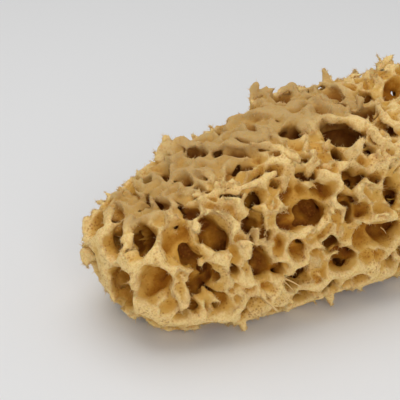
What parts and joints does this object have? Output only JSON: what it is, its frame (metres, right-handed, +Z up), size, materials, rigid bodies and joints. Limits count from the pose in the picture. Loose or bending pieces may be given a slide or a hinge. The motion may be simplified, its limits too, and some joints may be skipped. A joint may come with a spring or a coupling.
{
  "type": "sea sponge",
  "caption": "Natural sea sponge, a pored block cut flat below so that it rests, for bathing, wiping or display.",
  "frame": {"origin": "middle of the whole sponge's box, on the plane of its flat cut base", "axes": "+X along the sponge towards its higher, wider end, -Y out of the deeply pored front, +Z up"},
  "size_m": [0.1651, 0.0923, 0.0807],
  "materials": {
    "sponge": "dry horny sponge skeleton, matt and fibrous: pale golden tan on the walls between the pores, amber to dark brown down inside them, greyer tan on the smoother top"
  },
  "bodies": {
    "root": {"sponge": "sponge"}
  },
  "joints": []
}
